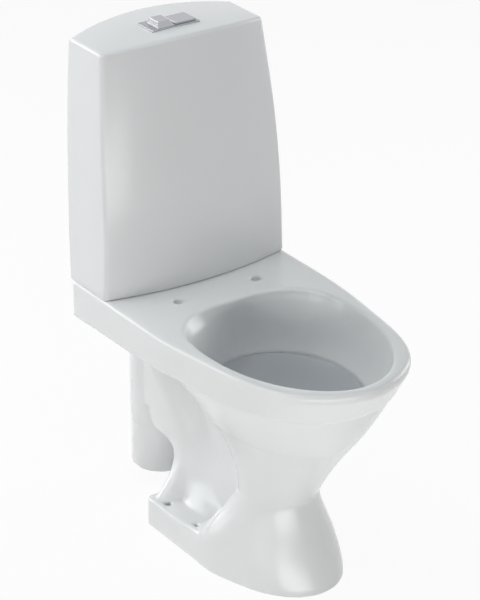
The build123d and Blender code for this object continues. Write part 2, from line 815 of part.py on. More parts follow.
with BuildPart() as cistern_bolts:
    with BuildSketch(Plane.XY.offset(washer_top)):
        with Locations(*pair):
            Circle(bolt_head_radius)
    extrude(amount=bolt_head_height)
    chamfer(cistern_bolts.faces().group_by(Axis.Z)[-1].edges(), bolt_head_height / 4)
    with BuildSketch(Plane.XY.offset(rim_height - bolt_end_length)):
        with Locations(*pair):
            Circle(bolt_radius)
    extrude(amount=washer_top + bolt_end_length - rim_height)
cistern_bolts.part.label = "cistern_bolts"

with BuildPart() as wing_nuts:
    with BuildSketch(Plane.XY.offset(nut_top - wing_nut_height)):
        with Locations(*pair):
            Circle(wing_nut_radius)
            RectangleRounded(wing_thickness, 2 * (wing_nut_radius + wing_length), wing_end_radius)
            Circle(bolt_radius + thread_gap, mode=Mode.SUBTRACT)
    extrude(amount=wing_nut_height)
wing_nuts.part.label = "wing_nuts"

# Flush valve: the seat through the tank's floor, its nut and the gasket on the deck
flange_top = tank_floor_top + seat_flange_thickness
lip_top = flange_top + seat_lip_height
with BuildPart() as valve_seat:
    with BuildSketch(Plane.XY.offset(tank_floor_top)):
        with Locations((0, button_y)):
            Circle(seat_flange_radius)
    extrude(amount=seat_flange_thickness)
    with BuildSketch(Plane.XY.offset(tank_floor_top - seat_tail_length)):
        with Locations((0, button_y)):
            Circle(seat_tail_radius)
    extrude(amount=seat_tail_length)
    with BuildSketch(Plane.XY.offset(flange_top)):
        with Locations((0, button_y)):
            Circle(seat_bore_radius + seat_lip_wall)
    extrude(amount=seat_lip_height)
    with BuildSketch(Plane.XY.offset(tank_floor_top - seat_tail_length - overrun)):
        with Locations((0, button_y)):
            Circle(seat_bore_radius)
    extrude(amount=lip_top - tank_floor_top + seat_tail_length + 2 * overrun, mode=Mode.SUBTRACT)
valve_seat.part.label = "valve_seat"

with BuildPart() as valve_seat_nut:
    with BuildSketch(Plane.XY.offset(tank_low - tail_nut_height)):
        with Locations((0, button_y)):
            RegularPolygon(tail_nut_radius, 8)
            Circle(seat_tail_radius + thread_gap, mode=Mode.SUBTRACT)
    extrude(amount=tail_nut_height)
valve_seat_nut.part.label = "valve_seat_nut"

with BuildPart() as cistern_gasket:
    with BuildSketch(Plane.XY.offset(rim_height)):
        with Locations((0, button_y)):
            Circle(gasket_radius)
            Circle(tail_nut_radius + gasket_gap, mode=Mode.SUBTRACT)
    extrude(amount=tank_lift)
cistern_gasket.part.label = "cistern_gasket"

# Flush valve: the cage on the seat, with two posts up to the bridge
cage_top = flange_top + cage_height
cage_inner = cage_ring_radius - cage_ring_wall
collar_inner = tube_radius + tube_guide_gap
with BuildPart() as valve_cage:
    with BuildSketch(Plane.XY.offset(flange_top)):
        with Locations((0, button_y)):
            Circle(cage_ring_radius)
            Circle(cage_inner, mode=Mode.SUBTRACT)
    extrude(amount=seat_flange_thickness)
    with BuildSketch(Plane.XY.offset(flange_top)):
        with Locations((0, button_y)):
            with PolarLocations((cage_ring_radius + cage_inner) / 2, 4, start_angle=45):
                Rectangle(cage_ring_wall, cage_leg_width)
    extrude(amount=cage_height)
    with BuildSketch(Plane.XY.offset(cage_top - cage_ring_height)):
        with Locations((0, button_y)):
            Circle(cage_ring_radius)
            Circle(cage_ring_radius - cage_top_ring_wall, mode=Mode.SUBTRACT)
            Rectangle(2 * (cage_ring_radius - cage_ring_wall), cage_spoke_width)
            Rectangle(cage_spoke_width, 2 * (cage_ring_radius - cage_ring_wall))
    extrude(amount=cage_ring_height)
    with BuildSketch(Plane.XY.offset(cage_top - cage_ring_height)):
        with Locations((0, button_y)):
            Circle(collar_inner + cage_collar_wall)
    extrude(amount=cage_collar_height)
    with BuildSketch(Plane.XY.offset(cage_top - cage_ring_height)):
        with Locations((0, button_y)):
            Circle(collar_inner)
    extrude(amount=cage_collar_height, mode=Mode.SUBTRACT)
    with BuildSketch(Plane.XY.offset(cage_top - cage_ring_height)):
        with Locations((0, button_y - post_y), (0, button_y + post_y)):
            Rectangle(post_length, post_thickness)
    extrude(amount=bridge_height - cage_top + cage_ring_height)
valve_cage.part.label = "valve_cage"

# Flush valve: the lift tube with its flange and its bracket up to the lever's nose, and the seal under it
seal_low = lip_top + seat_gap
tube_low = seal_low + seal_thickness
nose_x = lever_lift_arm - pivot_x
hook_low = lever_z + lever_nose_radius + seat_gap
tube_top_height = bridge_height - tube_top_drop
strut_x = nose_x + lever_nose_radius + hook_strut_gap
full_y = button_y + rod_y
half_y = button_y - rod_y
with BuildPart() as lift_tube:
    with BuildSketch(Plane.XY.offset(tube_low)):
        with Locations((0, button_y)):
            Circle(tube_flange_radius)
    extrude(amount=tube_flange_thickness)
    with BuildSketch(Plane.XY.offset(tube_low)):
        with Locations((0, button_y)):
            Circle(tube_radius)
    extrude(amount=tube_top_height - tube_low)
    with BuildSketch(Plane.XY.offset(tube_top_height)):
        with Locations(((strut_x + hook_strut_thickness) / 2, full_y)):
            Rectangle(strut_x + hook_strut_thickness, hook_width)
    extrude(amount=weight_arm_thickness)
    with BuildSketch(Plane.XY.offset(tube_top_height)):
        with Locations((strut_x + hook_strut_thickness / 2, full_y)):
            Rectangle(hook_strut_thickness, hook_width)
    extrude(amount=hook_low + hook_thickness - tube_top_height)
    with BuildSketch(Plane.XY.offset(hook_low)):
        with Locations(((nose_x - hook_reach + strut_x + hook_strut_thickness) / 2, full_y)):
            Rectangle(strut_x + hook_strut_thickness - nose_x + hook_reach, hook_width)
    extrude(amount=hook_thickness)
    with BuildSketch(Plane.XY.offset(tube_low - overrun)):
        with Locations((0, button_y)):
            Circle(tube_radius - tube_wall)
    extrude(amount=tube_top_height + weight_arm_thickness - tube_low + 2 * overrun, mode=Mode.SUBTRACT)
lift_tube.part.label = "lift_tube"

with BuildPart() as valve_seal:
    with BuildSketch(Plane.XY.offset(seal_low)):
        with Locations((0, button_y)):
            Circle(seal_outer_radius)
            Circle(seal_inner_radius, mode=Mode.SUBTRACT)
    extrude(amount=seal_thickness)
valve_seal.part.label = "valve_seal"

# Flush valve: the half flush weight round the tube, hung from its lever's nose
weight_low_height = cage_top + weight_rise
weight_top = weight_low_height + weight_height
with BuildPart() as half_flush_weight:
    with BuildSketch(Plane.XY.offset(weight_low_height)):
        with Locations((0, button_y)):
            Circle(weight_radius)
    extrude(amount=weight_height)
    with BuildSketch(Plane.XY.offset(weight_top - weight_arm_thickness)):
        with Locations((-weight_rod_x / 2, half_y)):
            Rectangle(weight_rod_x, 2 * weight_rod_radius)
        with Locations((-weight_rod_x, half_y)):
            Circle(weight_rod_radius)
    extrude(amount=weight_arm_thickness)
    with BuildSketch(Plane.XY.offset(weight_top - weight_arm_thickness)):
        with Locations((-weight_rod_x, half_y)):
            Circle(weight_rod_radius)
    extrude(amount=hook_low + hook_thickness - weight_top + weight_arm_thickness)
    with BuildSketch(Plane.XY.offset(hook_low)):
        with Locations((-(weight_rod_x + nose_x - hook_reach) / 2, half_y)):
            Rectangle(weight_rod_x - nose_x + hook_reach, 2 * weight_rod_radius)
    extrude(amount=hook_thickness)
    with BuildSketch(Plane.XY.offset(weight_low_height - overrun)):
        with Locations((0, button_y)):
            Circle(tube_radius + weight_gap)
    extrude(amount=weight_height + 2 * overrun, mode=Mode.SUBTRACT)
half_flush_weight.part.label = "half_flush_weight"

# Bridge over the valve: a window frame with a middle rib and two screw bosses
with BuildPart() as valve_bridge:
    with BuildSketch(Plane.XY.offset(bridge_height)):
        with Locations((0, button_y)):
            RectangleRounded(bridge_length, bridge_width, bridge_end / 2)
            Rectangle(bridge_length - 2 * bridge_end, bridge_width - 2 * bridge_side, mode=Mode.SUBTRACT)
            Rectangle(bridge_length - bridge_end, bridge_rib)
        with Locations((-screw_x, button_y), (screw_x, button_y)):
            Circle(bridge_boss_radius)
            Circle(screw_radius + thread_gap, mode=Mode.SUBTRACT)
    extrude(amount=bridge_depth)
    with BuildSketch(Plane.XZ.offset(-button_y)):
        with Locations((-pivot_x, lever_z)):
            Circle(lever_pin_radius + pin_gap)
    extrude(amount=-bridge_width / 2 + bridge_side / 2, mode=Mode.SUBTRACT)
    with BuildSketch(Plane.XZ.offset(-button_y)):
        with Locations((pivot_x, lever_z)):
            Circle(lever_pin_radius + pin_gap)
    extrude(amount=bridge_width / 2 - bridge_side / 2, mode=Mode.SUBTRACT)
valve_bridge.part.label = "valve_bridge"

# Lever pins between the rib and the side bars
with BuildPart() as lever_pins:
    with BuildSketch(Plane.XZ.offset(-button_y)):
        with Locations((-pivot_x, lever_z)):
            Circle(lever_pin_radius)
    extrude(amount=-bridge_width / 2 + bridge_side / 2)
    with BuildSketch(Plane.XZ.offset(-button_y)):
        with Locations((pivot_x, lever_z)):
            Circle(lever_pin_radius)
    extrude(amount=bridge_width / 2 - bridge_side / 2)
lever_pins.part.label = "lever_pins"


def flush_lever(side):
    """Lever with its hub on a pin, a tail under the rod and a round nose under the hook."""
    tail_x = rod_x + lever_tail
    with BuildPart() as lever:
        with BuildSketch(Plane.XZ.offset(-button_y - side * rod_y - lever_width / 2)):
            with Locations((side * (nose_x - tail_x) / 2, lever_z)):
                Rectangle(nose_x + tail_x, lever_thickness)
            with Locations((side * nose_x, lever_z)):
                Circle(lever_nose_radius)
            with Locations((-side * pivot_x, lever_z)):
                Circle(lever_hub_radius)
                Circle(lever_pin_radius + pin_gap, mode=Mode.SUBTRACT)
        extrude(amount=lever_width)
    return lever.part


full_flush_lever = flush_lever(1)
full_flush_lever.label = "full_flush_lever"
half_flush_lever = flush_lever(-1)
half_flush_lever.label = "half_flush_lever"

# Fill valve: body through the tank's floor, with its washer, nut and cap
shank_low = tank_floor_top - shank_length
shank_top = washer_top + shank_flange_thickness
tail_top = shank_low + inlet_tail_length
column_top_height = bridge_height - column_top_drop
head_top = column_top_height + head_height
with BuildPart() as fill_valve_body:
    with BuildSketch(Plane.XY.offset(shank_low)):
        with Locations((fill_x, fill_y)):
            Circle(inlet_tail_radius)
    extrude(amount=inlet_tail_length)
    with BuildSketch(Plane.XY.offset(tail_top)):
        with Locations((fill_x, fill_y)):
            Circle(shank_radius)
    extrude(amount=washer_top - tail_top)
    with BuildSketch(Plane.XY.offset(washer_top)):
        with Locations((fill_x, fill_y)):
            Circle(shank_flange_radius)
    extrude(amount=shank_flange_thickness)
    with BuildSketch(Plane.XY.offset(shank_top)):
        with Locations((fill_x, fill_y)):
            Circle(column_radius)
    extrude(amount=column_top_height - shank_top)
    with BuildSketch(Plane.XY.offset(column_top_height)):
        with Locations((fill_x, fill_y)):
            Circle(head_radius)
    extrude(amount=head_height)
    with BuildSketch(Plane.XY.offset(shank_low - overrun)):
        with Locations((fill_x, fill_y)):
            Circle(shank_bore_radius)
    extrude(amount=column_top_height - shank_low + overrun, mode=Mode.SUBTRACT)
fill_valve_body.part.label = "fill_valve_body"

with BuildPart() as shank_washer:
    with BuildSketch(Plane.XY.offset(tank_floor_top)):
        with Locations((fill_x, fill_y)):
            Circle(shank_flange_radius + washer_overhang)
            Circle(shank_radius + washer_bore_gap, mode=Mode.SUBTRACT)
    extrude(amount=washer_thickness)
shank_washer.part.label = "shank_washer"

with BuildPart() as fill_valve_nut:
    with BuildSketch(Plane.XY.offset(tank_low - shank_nut_height)):
        with Locations((fill_x, fill_y)):
            RegularPolygon(shank_nut_width / 2, 6, major_radius=False)
            Circle(shank_radius + thread_gap, mode=Mode.SUBTRACT)
    extrude(amount=shank_nut_height)
fill_valve_nut.part.label = "fill_valve_nut"

cap_top = head_top + cap_height
ear_x = fill_x + float_lever_pivot_x
ear_y = float_lever_width / 2 + lever_ear_gap + ear_thickness / 2
pin_z = cap_top + float_lever_rise
with BuildPart() as fill_valve_cap:
    with BuildSketch(Plane.XY.offset(head_top)):
        with Locations((fill_x, fill_y)):
            Circle(head_radius + cap_overhang)
    extrude(amount=cap_height)
    with BuildSketch(Plane.XY.offset(cap_top)):
        with Locations((ear_x, fill_y - ear_y), (ear_x, fill_y + ear_y)):
            Rectangle(ear_width, ear_thickness)
    extrude(amount=ear_height)
    with BuildSketch(Plane.XZ.offset(-fill_y - ear_width)):
        with Locations((ear_x, pin_z)):
            Circle(float_pin_radius + pin_gap)
    extrude(amount=2 * ear_width, mode=Mode.SUBTRACT)
fill_valve_cap.part.label = "fill_valve_cap"

with BuildPart() as float_lever_pin:
    with BuildSketch(Plane.XZ.offset(-fill_y - ear_y - ear_thickness / 2)):
        with Locations((ear_x, pin_z)):
            Circle(float_pin_radius)
    extrude(amount=2 * ear_y + ear_thickness)
float_lever_pin.part.label = "float_lever_pin"

with BuildPart() as float_lever:
    with BuildSketch(Plane.XZ.offset(-fill_y - float_lever_width / 2)):
        with Locations((ear_x - float_lever_length / 2, pin_z)):
            SlotCenterToCenter(float_lever_length, float_lever_thickness)
        with Locations((ear_x, pin_z)):
            Circle(float_hub_radius)
            Circle(float_pin_radius + pin_gap, mode=Mode.SUBTRACT)
    extrude(amount=float_lever_width)
float_lever.part.label = "float_lever"

# Float: an upturned cup round the column, with a link up to the float lever
float_top_height = column_top_height - float_top_drop
with BuildPart() as float_cup:
    with BuildSketch(Plane.XY.offset(float_top_height - float_height)):
        with Locations((fill_x, fill_y)):
            Circle(float_radius)
            Circle(column_radius + float_gap, mode=Mode.SUBTRACT)
    extrude(amount=float_height)
    with BuildSketch(Plane.XY.offset(float_top_height - float_height)):
        with Locations((fill_x, fill_y)):
            Circle(float_radius - float_wall)
            Circle(column_radius + float_gap + float_wall, mode=Mode.SUBTRACT)
    extrude(amount=float_height - float_wall, mode=Mode.SUBTRACT)
float_cup.part.label = "float_cup"

link_x = ear_x - float_lever_length
link_top = pin_z - float_lever_thickness / 2 - seat_gap
with BuildPart() as float_link:
    with BuildSketch(Plane.XY.offset(float_top_height)):
        with Locations((link_x, fill_y)):
            Circle(link_radius)
    extrude(amount=link_top - link_radius - float_top_height)
    with Locations((link_x, fill_y, link_top - link_radius)):
        Sphere(link_radius)
float_link.part.label = "float_link"

os.makedirs("parts", exist_ok=True)
pieces = [pan.part, cistern_hood.part, inner_cistern.part, cistern_gasket.part, cistern_bolts.part,
          bolt_washers.part, wing_nuts.part, valve_seat.part, valve_seat_nut.part, valve_cage.part,
          lift_tube.part, valve_seal.part, half_flush_weight.part, valve_bridge.part, lever_pins.part,
          full_flush_lever, half_flush_lever, full_push_rod, half_push_rod, full_button_spring,
          half_button_spring, clamp_screws.part, button_frame.part, full_flush_button.part,
          half_flush_button.part, fill_valve_body.part, shank_washer.part, fill_valve_nut.part,
          fill_valve_cap.part, float_lever_pin.part, float_lever.part, float_cup.part, float_link.part]
for piece in pieces:
    export_step(piece, "parts/" + piece.label + ".step")
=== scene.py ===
import json
import math
import bpy
import bmesh
import numpy as np
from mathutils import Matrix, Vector


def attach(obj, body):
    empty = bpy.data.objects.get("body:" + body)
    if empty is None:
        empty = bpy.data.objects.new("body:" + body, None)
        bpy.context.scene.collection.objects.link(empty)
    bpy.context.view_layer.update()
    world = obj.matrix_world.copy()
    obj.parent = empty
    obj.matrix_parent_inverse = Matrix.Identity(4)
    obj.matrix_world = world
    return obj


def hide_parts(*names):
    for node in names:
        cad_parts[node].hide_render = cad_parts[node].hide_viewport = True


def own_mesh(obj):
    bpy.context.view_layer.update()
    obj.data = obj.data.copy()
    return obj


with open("model.json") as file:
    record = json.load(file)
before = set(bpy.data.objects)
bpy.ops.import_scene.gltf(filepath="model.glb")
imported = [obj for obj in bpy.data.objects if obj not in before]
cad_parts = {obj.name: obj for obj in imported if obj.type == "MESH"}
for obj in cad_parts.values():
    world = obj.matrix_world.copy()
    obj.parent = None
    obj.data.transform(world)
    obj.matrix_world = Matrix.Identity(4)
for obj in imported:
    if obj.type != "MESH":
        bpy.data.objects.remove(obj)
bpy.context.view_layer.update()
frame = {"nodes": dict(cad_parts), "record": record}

# Lengths are in metres: the front looks along -Y, the wall is at +Y and the floor at Z = 0
scene = bpy.context.scene
scene.view_settings.view_transform = "Standard"


def shown(obj):
    """Put an object into the scene."""
    scene.collection.objects.link(obj)
    return obj


# Camera at the photograph's place, for a picture of 480 by 600
camera = shown(bpy.data.objects.new("camera", bpy.data.cameras.new("camera")))
camera.location = (-2.19512658, -3.13519699, 2.3265993)
camera.rotation_euler = (1.1145048471, -0.0016297516, -0.6049908171)
camera.data.lens = 158.839
camera.data.clip_end = 100
scene.camera = camera


# Shader nodes
def joined(tree, start, end):
    """Link one node's output to another's input."""
    tree.links.new(start, end)


def added(tree, kind, values=None):
    """A new node with some of its inputs set."""
    node = tree.nodes.new(kind)
    for socket, value in (values or {}).items():
        node.inputs[socket].default_value = value
    return node


def emptied(owner):
    """The node tree of a new material or world, with nothing in it."""
    owner.use_nodes = True
    owner.node_tree.nodes.clear()
    return owner.node_tree


def noise(tree, place, scale, detail=3, stretch=(1, 1, 1)):
    """Noise over the object's own coordinates, in features of 1 / scale metres."""
    mapping = added(tree, "ShaderNodeMapping", {"Scale": stretch})
    joined(tree, place.outputs["Object"], mapping.inputs["Vector"])
    node = added(tree, "ShaderNodeTexNoise", {"Scale": scale, "Detail": detail})
    joined(tree, mapping.outputs["Vector"], node.inputs["Vector"])
    return node


def ranged(tree, source, low, high):
    """A noise value, which mostly lies between 0.1 and 0.9, brought into a range."""
    node = added(tree, "ShaderNodeMapRange",
                 {"From Min": 0.1, "From Max": 0.9, "To Min": low, "To Max": high})
    joined(tree, source.outputs["Fac"], node.inputs["Value"])
    return node.outputs["Result"]


def between(tree, share, first, second):
    """A colour between two others, by another node's output."""
    node = tree.nodes.new("ShaderNodeMix")
    node.data_type = "RGBA"
    # A Mix node has its colours at inputs 6 and 7 and gives their mix at output 2
    node.inputs[6].default_value = first
    node.inputs[7].default_value = second
    joined(tree, share, node.inputs[0])
    return node.outputs[2]


def blended(tree, first, second):
    """A mix of two shaders, whose input Fac is the second one's share."""
    node = tree.nodes.new("ShaderNodeMixShader")
    joined(tree, first.outputs[0], node.inputs[1])
    joined(tree, second.outputs[0], node.inputs[2])
    return node


def seen_directly(tree):
    """One for camera, glossy and transmission rays."""
    path = tree.nodes.new("ShaderNodeLightPath")
    total = path.outputs["Is Camera Ray"]
    for other in ("Is Glossy Ray", "Is Transmission Ray"):
        larger = tree.nodes.new("ShaderNodeMath")
        larger.operation = "MAXIMUM"
        joined(tree, total, larger.inputs[0])
        joined(tree, path.outputs[other], larger.inputs[1])
        total = larger.outputs[0]
    return total


# Materials of the slots: every one has noise in its colour and roughness and a fine bump
def material(name, colour, spread, patch_scale, rough, rough_scale, bump_scale, bump_height,
             metallic=0.0, coat=0.0, ior=1.5, stretch=(1, 1, 1), detail=3):
    """A surface whose colour drifts between two close shades, with uneven gloss and a relief."""
    made = bpy.data.materials.new(name)
    made.use_nodes = True
    tree = made.node_tree
    shader = next(node for node in tree.nodes if node.type == "BSDF_PRINCIPLED")
    place = tree.nodes.new("ShaderNodeTexCoord")

    def spots(scale):
        return noise(tree, place, scale, detail, stretch)

    darker = tuple(max(0, c - spread) for c in colour) + (1,)
    lighter = tuple(min(1, c + spread) for c in colour) + (1,)
    drift = between(tree, ranged(tree, spots(patch_scale), 0, 1), darker, lighter)
    joined(tree, drift, shader.inputs["Base Color"])
    joined(tree, ranged(tree, spots(rough_scale), *rough), shader.inputs["Roughness"])
    relief = added(tree, "ShaderNodeBump", {"Strength": 1.0, "Distance": bump_height})
    joined(tree, spots(bump_scale).outputs["Fac"], relief.inputs["Height"])
    joined(tree, relief.outputs["Normal"], shader.inputs["Normal"])
    shader.inputs["Metallic"].default_value = metallic
    shader.inputs["IOR"].default_value = ior
    shader.inputs["Coat Weight"].default_value = coat
    shader.inputs["Coat Roughness"].default_value = 0.04
    return made


def glaze(name, colour):
    """Vitreous china: an even white body under a clear glaze with a very faint orange peel."""
    return material(name, colour, spread=0.006, patch_scale=7, rough=(0.19, 0.25), rough_scale=14,
                    bump_scale=28, bump_height=0.00008, coat=0.12, ior=1.52, detail=2)


def plastic(name, colour, rough=(0.38, 0.5)):
    """Moulded plastic with a fine grain."""
    return material(name, colour, spread=0.015, patch_scale=25, rough=rough, rough_scale=60,
                    bump_scale=900, bump_height=0.00004)


def rubber(name, colour):
    """Moulded rubber, nearly black and dull."""
    return material(name, colour, spread=0.012, patch_scale=60, rough=(0.6, 0.78), rough_scale=90,
                    bump_scale=1400, bump_height=0.00008)


def metal(name, colour, rough, stretch):
    """Metal with fine marks drawn out along one direction."""
    return material(name, colour, spread=0.02, patch_scale=120, rough=rough, rough_scale=240,
                    bump_scale=900, bump_height=0.000012, metallic=1.0, stretch=stretch, detail=4)


brass = (0.72, 0.55, 0.26)
slots = {
    "glazed_pan": glaze("glazed_pan", (0.86, 0.87, 0.875)),
    "glazed_hood": glaze("glazed_hood", (0.85, 0.86, 0.87)),
    "tank_plastic": plastic("tank_plastic", (0.82, 0.83, 0.84)),
    "gasket_rubber": rubber("gasket_rubber", (0.05, 0.05, 0.055)),
    "bolt_brass": metal("bolt_brass", brass, (0.22, 0.36), (1, 1, 8)),
    "washer_rubber": rubber("washer_rubber", (0.06, 0.06, 0.065)),
    "nut_plastic": plastic("nut_plastic", (0.75, 0.76, 0.77)),
    "valve_plastic": plastic("valve_plastic", (0.80, 0.81, 0.82)),
    "tube_plastic": plastic("tube_plastic", (0.70, 0.73, 0.76), (0.3, 0.42)),
    "seal_rubber": rubber("seal_rubber", (0.08, 0.08, 0.085)),
    "weight_plastic": plastic("weight_plastic", (0.30, 0.36, 0.45)),
    "pin_brass": metal("pin_brass", brass, (0.2, 0.32), (1, 8, 1)),
    "lever_plastic": plastic("lever_plastic", (0.28, 0.42, 0.62)),
    "rod_plastic": plastic("rod_plastic", (0.85, 0.85, 0.84)),
    "spring_steel": metal("spring_steel", (0.60, 0.61, 0.62), (0.2, 0.34), (1, 1, 4)),
    "plate_metal": metal("plate_metal", (0.36, 0.37, 0.39), (0.18, 0.28), (0.4, 6, 6)),
    "button_metal": metal("button_metal", (0.42, 0.43, 0.45), (0.14, 0.24), (0.4, 6, 6)),
    "fill_plastic": plastic("fill_plastic", (0.78, 0.79, 0.80)),
    "float_plastic": plastic("float_plastic", (0.72, 0.74, 0.76)),
}
for part in frame["record"]["subparts"]:
    node_mesh = frame["nodes"][part["node"]].data
    node_mesh.materials.clear()
    node_mesh.materials.append(slots[part["material_slot"]])


# Meshes. A vertex closer to a level than this counts as lying on it
on_level = 0.0005


def copied(node):
    """A welded copy of a CAD node's mesh, to shape further."""
    copy = bmesh.new()
    copy.from_mesh(frame["nodes"][node].data)
    bmesh.ops.remove_doubles(copy, verts=copy.verts, dist=0.000001)
    return copy


def kept(shape, mesh):
    """Write an edited shape into a mesh and let go of it."""
    shape.to_mesh(mesh)
    shape.free()
    return mesh


def bisected(shape, height, **clearing):
    """Cut a shape's faces along a level plane."""
    whole = shape.verts[:] + shape.edges[:] + shape.faces[:]
    bmesh.ops.bisect_plane(shape, geom=whole, plane_co=(0, 0, height), plane_no=(0, 0, 1),
                           **clearing)


def smooth(mesh):
    """Shade a mesh's faces as one rounded surface."""
    for face in mesh.polygons:
        face.use_smooth = True


def remeshed(node, name, voxel, sunk):
    """A new even mesh with a CAD node's shape, its underside sunk to be trimmed at the floor."""
    copy = copied(node)
    for vert in copy.verts:
        if vert.co.z < on_level:
            vert.co.z -= sunk
    piece = shown(bpy.data.objects.new(name, kept(copy, bpy.data.meshes.new(name))))
    change = piece.modifiers.new("remesh", "REMESH")
    change.mode = "VOXEL"
    change.voxel_size = voxel
    shape_now = piece.evaluated_get(bpy.context.evaluated_depsgraph_get())
    even = bpy.data.meshes.new_from_object(shape_now)
    piece.modifiers.clear()
    piece.data = even
    even.name = name
    smooth(even)
    return piece


def ramp(value, start, end):
    """Smooth step from 0 at the start to 1 at the end."""
    share = np.clip((value - start) / (end - start), 0, 1)
    return share * share * (3 - 2 * share)


def relaxed(points, edges, weight, rounds):
    """Points drawn half way to the middle of their neighbours each round, by their own weights."""
    strength = 0.5
    first, second = edges[:, 0], edges[:, 1]
    count = len(points)
    degree = np.bincount(first, minlength=count) + np.bincount(second, minlength=count)
    pull = (weight * strength / np.maximum(degree, 1))[:, None]
    keep = (weight * strength)[:, None]
    for _ in range(rounds):
        total = np.stack([np.bincount(first, points[second, axis], count) +
                          np.bincount(second, points[first, axis], count)
                          for axis in range(3)], 1)
        points = points + pull * total - keep * points
    return points


# The pan's level passage, and the limb whose middle line leans back and up from it
passage_height = 0.096
limb_foot = 0.1353  # y of the limb's middle line at the passage's height
limb_lean = 0.675  # how far back it goes for each metre up
across_lean = 0.829  # makes a length along Y one across the limb
limb_half_width = 0.048
limb_half_depth = 0.062
bore_reach = 0.0425  # nearer than this to a middle line there is only the bore's own wall

# The bowl's back at several heights, and the web between it and the limb
bowl_back_heights = (0.138, 0.2, 0.25, 0.3, 0.35)
bowl_back_depths = (-0.027, 0.001, 0.027, 0.055, 0.074)
web_least = 0.010
web_widening = 0.024  # added to its half width towards the deck
root_flare = 0.05  # added to its half width at the foot, and less with height
root_foot = 0.056
root_height = 0.13
bore_wall = 0.003
wall_aside = 0.05  # the bore's wall is drawn in by its share of this


def narrowed(points):
    """Carve the web beside the trap limb, and say where the recess and its parts are."""
    x, y, z = points.T.copy()
    aside = np.abs(x)
    outside = ramp(y - np.interp(z, bowl_back_heights, bowl_back_depths), 0.0, 0.012)
    ahead = y - limb_lean * (z - passage_height) - limb_foot
    limb_half = limb_half_width * np.sqrt(np.clip(1 - (ahead / limb_half_depth) ** 2, 0, 1))
    root = root_flare * (1 - np.clip((z - root_foot) / root_height, 0, 1)) ** 2
    web_half = np.hypot(limb_half, web_least + web_widening * ramp(z, 0.31, 0.35)) + root

    # Around the bores the inner wall is drawn in with the outer one, to stay inside it
    in_limb = np.hypot(x, ahead * across_lean) < bore_reach
    in_passage = (np.hypot(x, z - passage_height) < bore_reach) & (ahead < 0)
    inner = aside / wall_aside * np.maximum(web_half - bore_wall, 0)
    carved = np.where(in_limb | in_passage, inner, np.minimum(aside, web_half))
    above_foot = ramp(z, 0.058, 0.07)
    near_middle = 1 - ramp(aside, 0.055 + root, 0.07 + root)
    before_axis = 1 - ramp(ahead, -0.006, 0.0)
    carve = outside * above_foot * near_middle * before_axis
    points[:, 0] = x + carve * (np.sign(x) * np.minimum(carved, aside) - x)

    upright = ramp(z, 0.052, 0.085) * (1 - ramp(z, 0.33, 0.358))
    behind_bowl = np.maximum(ramp(y, 0.03, 0.07), 1 - ramp(aside, 0.05, 0.07))
    in_recess = upright * behind_bowl * outside * (1 - ramp(y, 0.185, 0.23))
    low_recess = in_recess * (1 - ramp(z, 0.13, 0.18))
    arch_heights = ramp(z, 0.066, 0.08) * (1 - ramp(z, 0.15, 0.18))
    at_arch = arch_heights * ramp(y, 0.13, 0.15) * (1 - ramp(y, 0.205, 0.224))
    on_foot = 1 - ramp(z, 0.045, 0.062)
    foot_front = on_foot * ramp(y, -0.15, -0.09)
    foot_join = foot_front * (1 - ramp(y, 0.02, 0.05)) * ramp(aside, 0.06, 0.08)
    return in_recess, low_recess, at_arch, foot_join


# Pan: the casting with soft glazed edges and a smooth recess round its trap limb
pan = remeshed("pan", "pan_glazed", voxel=0.003, sunk=0.03)
edges = np.empty(len(pan.data.edges) * 2, dtype=np.int64)
pan.data.edges.foreach_get("vertices", edges)
edges = edges.reshape(-1, 2)
points = np.empty(len(pan.data.vertices) * 3)
pan.data.vertices.foreach_get("co", points)
points = points.reshape(-1, 3)
in_recess, low_recess, at_arch, foot_join = narrowed(points)
points = relaxed(points, edges, in_recess, rounds=50)
points[:, 0] = relaxed(points, edges, low_recess, rounds=160)[:, 0]
points = relaxed(points, edges, at_arch, rounds=30)
points[:, 0] = relaxed(points, edges, foot_join, rounds=150)[:, 0]
points = relaxed(points, edges, np.ones(len(points)), rounds=3)
pan.data.vertices.foreach_set("co", points.ravel())
trimmed = bmesh.new()
trimmed.from_mesh(pan.data)
bisected(trimmed, 0, clear_inner=True)
foot_edges = [edge for edge in trimmed.edges if edge.is_boundary]
for edge in foot_edges:
    edge.smooth = False
bmesh.ops.triangle_fill(trimmed, edges=foot_edges, use_beauty=True)
bmesh.ops.recalc_face_normals(trimmed, faces=trimmed.faces)
kept(trimmed, pan.data)
pan.data.update()
pan.data.materials.clear()
pan.data.materials.append(slots["glazed_pan"])
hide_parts("pan")
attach(pan, "toilet")

# Cistern hood: the CAD shape with its lower outer edge eased, so that a seam shows on the deck
hood_foot = min(vert.co.z for vert in frame["nodes"]["cistern_hood"].data.vertices)
hood_middle = 0.235
seam_height = 0.003
seam_depth = 0.0026
side_slope = 0.5
sharp_angle = 0.5
eased = copied("cistern_hood")
bisected(eased, hood_foot + seam_height)
for vert in eased.verts:
    if vert.co.z < hood_foot + on_level:
        outward = Vector((0, 0, 0))
        for face in vert.link_faces:
            if abs(face.normal.z) < side_slope:
                outward += face.normal
        outward.z = 0
        from_middle = Vector((vert.co.x, vert.co.y - hood_middle, 0))
        if outward.length > 0 and outward.dot(from_middle) > 0:
            vert.co -= seam_depth * outward.normalized()
for edge in eased.edges:
    edge.smooth = len(edge.link_faces) == 2 and edge.calc_face_angle(0) < sharp_angle
hood_mesh = kept(eased, bpy.data.meshes.new("hood_glazed"))
smooth(hood_mesh)
hood = shown(bpy.data.objects.new("hood_glazed", hood_mesh))
hood_mesh.materials.append(slots["glazed_hood"])
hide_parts("cistern_hood")
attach(hood, "toilet")

